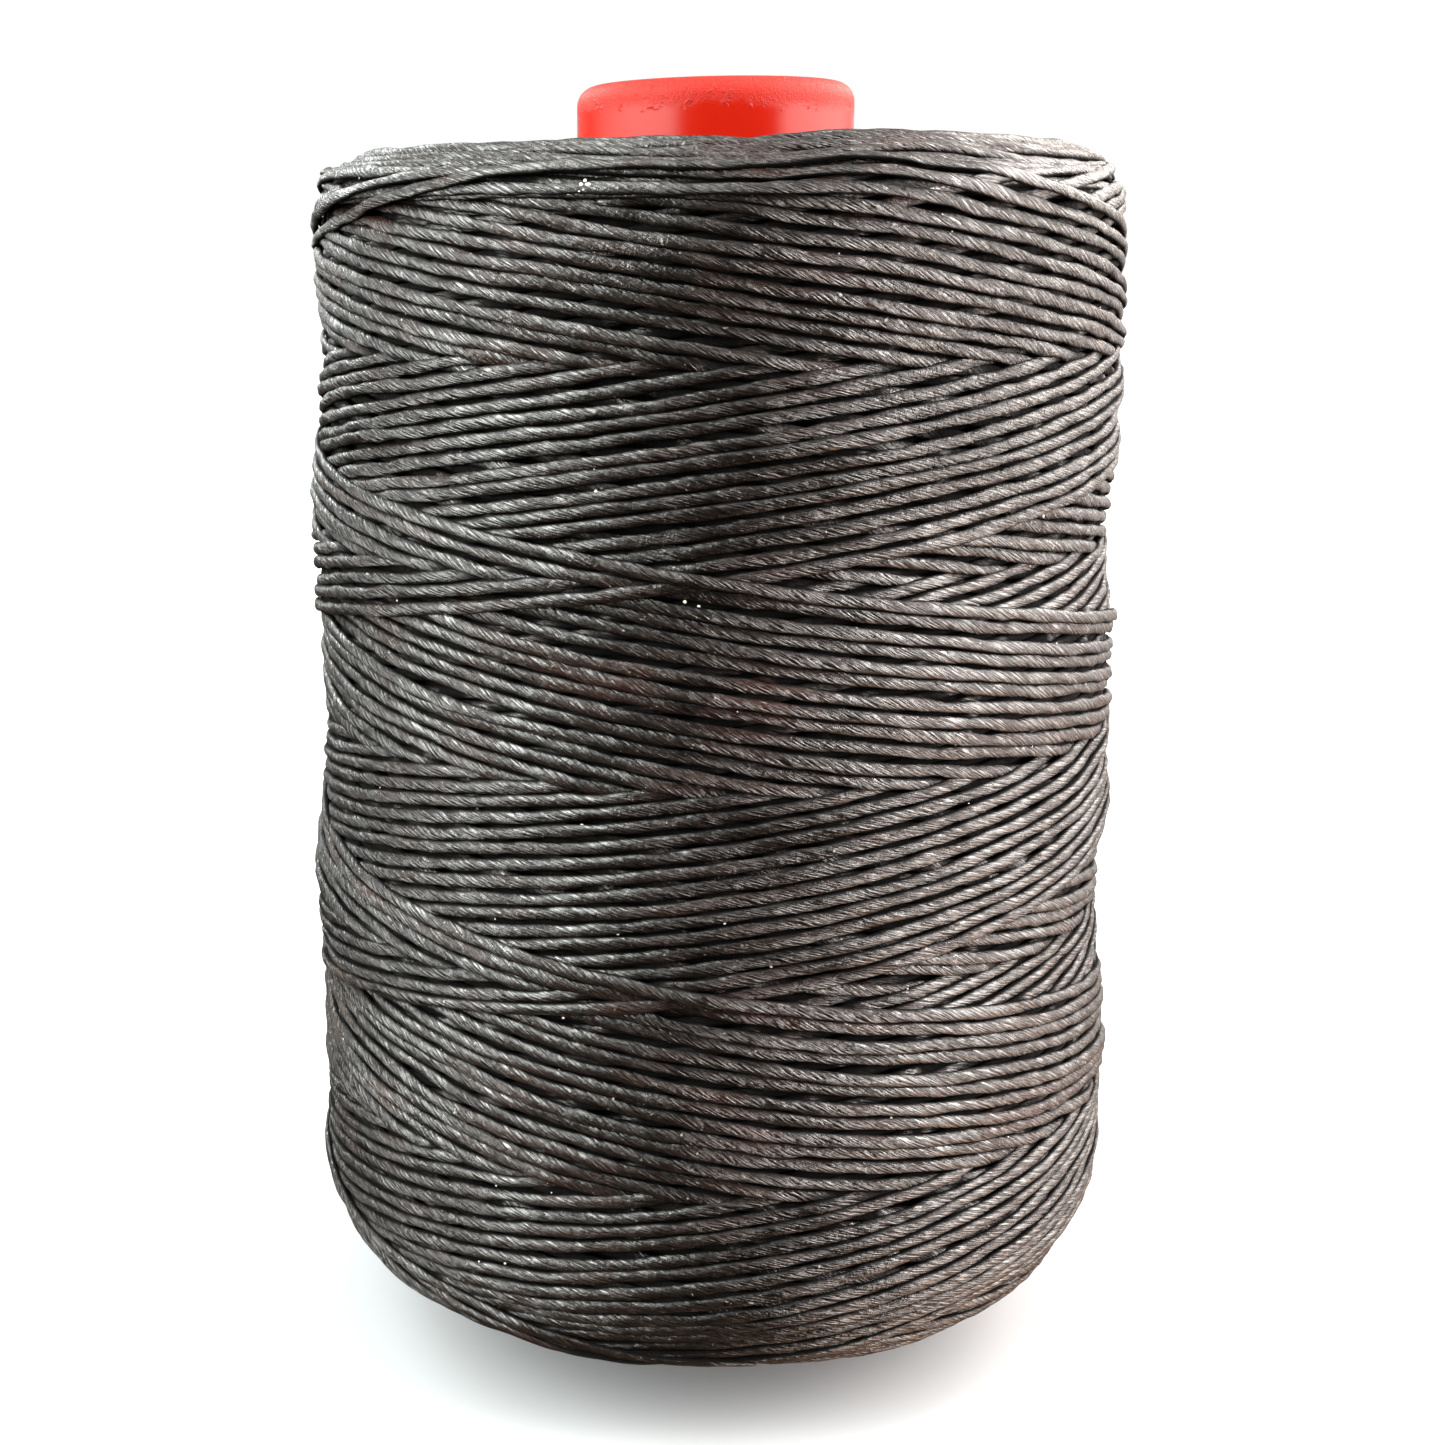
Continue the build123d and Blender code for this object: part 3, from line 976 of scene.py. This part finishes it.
def moulded_polypropylene():
    material, shader = finish_named("moulded polypropylene")
    place = add(material, "TexCoord")
    parts = add(material, "SeparateXYZ", links={"Vector": (place, "Object")})
    from_middle = add(material, "Math", {"operation": "SUBTRACT"}, {1: TUBE_LENGTH / 2 * MM},
                      {0: (parts, "Z")})
    away = add(material, "Math", {"operation": "ABSOLUTE"}, links={0: from_middle})
    grain = add(material, "TexNoise", values={"Scale": 5200.0, "Detail": 3.0, "Roughness": 0.6},
                links={"Vector": (place, "Object")})
    wobble = add(material, "TexNoise", values={"Scale": 700.0, "Detail": 4.0, "Roughness": 0.7},
                 links={"Vector": (place, "Object")})
    edge = add(material, "Math", {"operation": "MULTIPLY_ADD"}, {1: LIP_WANDER * MM},
               {0: wobble, 2: away})
    lip = add(material, "MapRange", links={"Value": edge},
              values={"From Min": (TUBE_LENGTH / 2 - LIP_STARTS) * MM,
                      "From Max": (TUBE_LENGTH / 2 - LIP_FULL) * MM})
    scuffs = add(material, "ValToRGB", links={"Fac": wobble}, stops=[(0.58, "#000000"), (0.68, "#ffffff")])
    worn = add(material, "Math", {"operation": "MULTIPLY"}, links={0: scuffs, 1: lip})
    worn_part = add(material, "Math", {"operation": "MULTIPLY"}, {1: 0.35}, {0: worn})
    tint = add(material, "Mix", {"data_type": "RGBA"}, {6: colour("#ae1c0d"), 7: colour("#962014")},
               {0: worn_part})
    gloss = add(material, "MapRange", values={"To Min": 0.12, "To Max": 0.55}, links={"Value": lip})
    strength = add(material, "MapRange", values={"To Min": 0.08, "To Max": 0.9}, links={"Value": lip})
    relief = add(material, "Bump", values={"Distance": 0.00008},
                 links={"Height": grain, "Strength": strength})
    rubbed = add(material, "Bump", values={"Distance": 0.00025, "Strength": 0.4},
                 links={"Height": worn, "Normal": relief})
    fill(material, shader,
         {"IOR": 1.49, "Specular IOR Level": 0.25, "Subsurface Weight": 0.12,
          "Subsurface Radius": (0.004, 0.001, 0.0008)},
         {"Base Color": (tint, 2), "Roughness": gloss, "Normal": rubbed})
    return material


tube_finish = moulded_polypropylene()


# %% [markdown]
# ### Dry wax
#
# Crumbs of microcrystalline wax: off-white, soft-edged, letting a little light in.

# %% Dry wax
def dry_wax():
    material, shader = finish_named("dry thread wax")
    place = add(material, "TexCoord")
    mottle = add(material, "TexNoise", values={"Scale": 4000.0, "Detail": 2.0},
                 links={"Vector": (place, "Object")})
    tint = add(material, "ValToRGB", links={"Fac": mottle}, stops=[(0.3, "#b8b0a0"), (0.7, "#f4f1ea")])
    fill(material, shader,
         {"Roughness": 0.5, "Subsurface Weight": 0.2, "Subsurface Radius": (0.0005, 0.0005, 0.0004)},
         {"Base Color": tint})
    return material


wax_finish = dry_wax()

# %% Put the finishes on, attach each piece to the root body, and hide the CAD parts they replace
for node, body in buried.items():
    body.data.materials.append(buried_finish)
    end_faces[node].data.materials.append(thread_finish)
    for piece in (body, end_faces[node]):
        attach(piece, "root")
        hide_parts(node)
for piece in outer_turns:
    piece.data.materials.append(thread_finish)
    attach(piece, "root")
    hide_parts("outer_layers")
for piece, finish_used in ((wax_crumbs, wax_finish), (stray_fibres, thread_finish)):
    piece.data.materials.append(finish_used)
    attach(piece, "root")
anchor_coil.data.materials.append(thread_finish)
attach(anchor_coil, "root")
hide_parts("anchor_turns")
tube.data.materials.append(tube_finish)
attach(tube, "root")
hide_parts("core_tube")

# %% [markdown]
# ## Floor, light and camera
#
# The spool stands on a pale floor in front of a white backdrop. The light is a white tent with a narrow
# dark slot for the camera: its walls light both flanks of the package, and the slot leaves a dark band
# down the middle, which is what makes a dark, waxy surface look round. Two soft boxes strengthen the
# flanks, and two behind the spool light the edges of its shoulders.

# %% Floor and backdrop
def stage_finish(name, hex_code, glow):
    material, shader = finish_named(name)
    fill(material, shader,
         {"Base Color": colour(hex_code), "Roughness": 0.9, "Emission Color": colour("#ffffff"),
          "Emission Strength": glow}, {})
    return material


bpy.ops.object.select_all(action="DESELECT")
bpy.ops.mesh.primitive_circle_add(vertices=64, radius=6.0, fill_type="NGON")
floor = bpy.context.object
floor.name = "floor"
floor.data.materials.append(stage_finish("pale grey card", "#b9bbbe", 0.0))
floor.visible_diffuse = floor.visible_glossy = False

bpy.ops.object.select_all(action="DESELECT")
bpy.ops.mesh.primitive_uv_sphere_add(segments=48, ring_count=24, radius=6.0)
backdrop = bpy.context.object
backdrop.name = "backdrop"
backdrop.data.materials.append(stage_finish("lit backdrop", "#000000", 1.0))
backdrop.visible_diffuse = backdrop.visible_glossy = backdrop.visible_shadow = False
backdrop.visible_transmission = backdrop.visible_volume_scatter = False

# %% The white tent and its slot
SLOT_HALF = math.radians(25)         # the darkest part ends here, to either side
SLOT_EDGE = math.radians(34)         # the tent's wall begins here
SLOT_OPEN = math.radians(53)         # and is at its full brightness from here on
SLOT_TO_RIGHT = math.radians(11)     # how far the slot is turned to the right
BEHIND_FROM = math.radians(70)       # the wall starts to darken towards the back
BEHIND_FULL = math.radians(140)
TENT_RADIANCE = 8.6
LINING = (0.04, 0.40)                # radiance of the slot, at its middle and at its edge
world = bpy.data.worlds.new("white tent")
world.use_nodes = True
bpy.context.scene.world = world
background = world.node_tree.nodes["Background"]
ray = add(world, "TexCoord")
ray_parts = add(world, "SeparateXYZ", links={"Vector": (ray, "Generated")})
forward = add(world, "Math", {"operation": "MULTIPLY"}, {1: -1.0}, {0: (ray_parts, "Y")})
bearing = add(world, "Math", {"operation": "ARCTAN2"}, links={0: (ray_parts, "X"), 1: forward})
from_slot = add(world, "Math", {"operation": "SUBTRACT"}, {1: SLOT_TO_RIGHT}, {0: bearing})
off_axis = add(world, "Math", {"operation": "ABSOLUTE"}, links={0: from_slot})
tent = add(world, "MapRange", {"interpolation_type": "SMOOTHSTEP"},
           {"From Min": SLOT_EDGE, "From Max": SLOT_OPEN, "To Min": 0.0, "To Max": TENT_RADIANCE},
           {"Value": off_axis})
slot_lining = add(world, "MapRange", {"interpolation_type": "SMOOTHSTEP"},
                  {"From Min": SLOT_HALF, "From Max": SLOT_EDGE, "To Min": LINING[0], "To Max": LINING[1]},
                  {"Value": off_axis})
tent_and_slot = add(world, "Math", {"operation": "ADD"}, links={0: tent, 1: slot_lining})
to_right = add(world, "MapRange", values={"From Min": -0.4, "From Max": 0.4},
               links={"Value": (ray_parts, "X")})
fade_from = add(world, "Math", {"operation": "MULTIPLY_ADD"}, {1: -0.45, 2: -0.30}, {0: to_right})
glow_below = add(world, "Math", {"operation": "MULTIPLY_ADD"}, {1: 0.25, 2: 0.08}, {0: to_right})
above = add(world, "MapRange", {"interpolation_type": "SMOOTHSTEP"}, {"From Max": 0.15, "To Max": 1.0},
            {"Value": (ray_parts, "Z"), "From Min": fade_from, "To Min": glow_below})
back_level = add(world, "Math", {"operation": "MULTIPLY_ADD"}, {1: 0.06, 2: 0.05}, {0: to_right})
behind = add(world, "MapRange", {"interpolation_type": "SMOOTHSTEP"},
             {"From Min": BEHIND_FROM, "From Max": BEHIND_FULL, "To Min": 1.0},
             {"Value": off_axis, "To Max": back_level})
walls = add(world, "Math", {"operation": "MULTIPLY"}, links={0: tent_and_slot, 1: behind})
strength = add(world, "Math", {"operation": "MULTIPLY"}, links={0: walls, 1: above})
left_light = add(world, "ValToRGB", links={"Fac": above}, stops=[(0.1, "#a08a70"), (0.6, "#f6faf5")])
right_light = add(world, "ValToRGB", links={"Fac": above}, stops=[(0.3, "#d8a888"), (0.9, "#fff9f5")])
tent_colour = add(world, "Mix", {"data_type": "RGBA"},
                  links={0: to_right, 6: left_light, 7: right_light})
fill(world, background, {}, {"Strength": strength, "Color": (tent_colour, 2)})


SOFT_BOX_SIDE = 0.40         # m


def soft_box(name, bearing_deg, distance, level, radiance, tint):
    """A square area light that faces the middle of the package. Bearing 0 is the camera's side."""
    lamp = bpy.data.lights.new(name, "AREA")
    lamp.shape = "RECTANGLE"
    lamp.size = lamp.size_y = SOFT_BOX_SIDE
    lamp.energy = radiance * math.pi * SOFT_BOX_SIDE * SOFT_BOX_SIDE
    lamp.color = colour(tint)[:3]
    box = bpy.data.objects.new(name, lamp)
    bpy.context.scene.collection.objects.link(box)
    bearing_rad = math.radians(bearing_deg)
    place = Vector((distance * math.sin(bearing_rad), -distance * math.cos(bearing_rad), level))
    box.location = place
    box.rotation_euler = (Vector((0, 0, PACK_MIDDLE * MM)) - place).to_track_quat("-Z", "Y").to_euler()
    box.visible_camera = False


soft_box("left soft box", -68, 0.75, 0.45, 6.0, "#f6fbf8")
soft_box("right soft box", 72, 0.75, 0.45, 9.0, "#fff4ea")
soft_box("upper left soft box", -138, 0.90, 0.50, 11.0, "#f6fbf8")
soft_box("upper right soft box", 138, 0.90, 0.50, 12.0, "#fff4ea")

# %% Camera
CAMERA_PLACE = (-2.9, -180.6, 94.0)      # mm
CAMERA_YAW = -2.25           # degrees, to the right
CAMERA_DOWN = 8.0            # degrees
CAMERA_ROLL = -0.08          # degrees
CAMERA_LENS = 50.74          # mm on a 36 mm sensor
CAMERA_SHIFT = (0.085, -0.130)

yaw, down, roll = (math.radians(v) for v in (CAMERA_YAW, CAMERA_DOWN, CAMERA_ROLL))
looking = Vector((math.sin(yaw) * math.cos(down), math.cos(yaw) * math.cos(down), -math.sin(down)))
level_right = Vector((math.cos(yaw), -math.sin(yaw), 0))
level_down = looking.cross(level_right)
right = level_right * math.cos(roll) + level_down * math.sin(roll)
up = looking.cross(right) * -1
camera_data = bpy.data.cameras.new("camera")
camera_data.lens = CAMERA_LENS
camera_data.sensor_width = 36
camera_data.shift_x, camera_data.shift_y = CAMERA_SHIFT
camera_data.clip_start, camera_data.clip_end = 0.01, 20
camera = bpy.data.objects.new("camera", camera_data)
bpy.context.scene.collection.objects.link(camera)
turned = Matrix((right, up, -looking)).transposed().to_4x4()
camera.matrix_world = Matrix.Translation(Vector(CAMERA_PLACE) * MM) @ turned
bpy.context.scene.camera = camera
bpy.context.scene.view_settings.view_transform = "Standard"
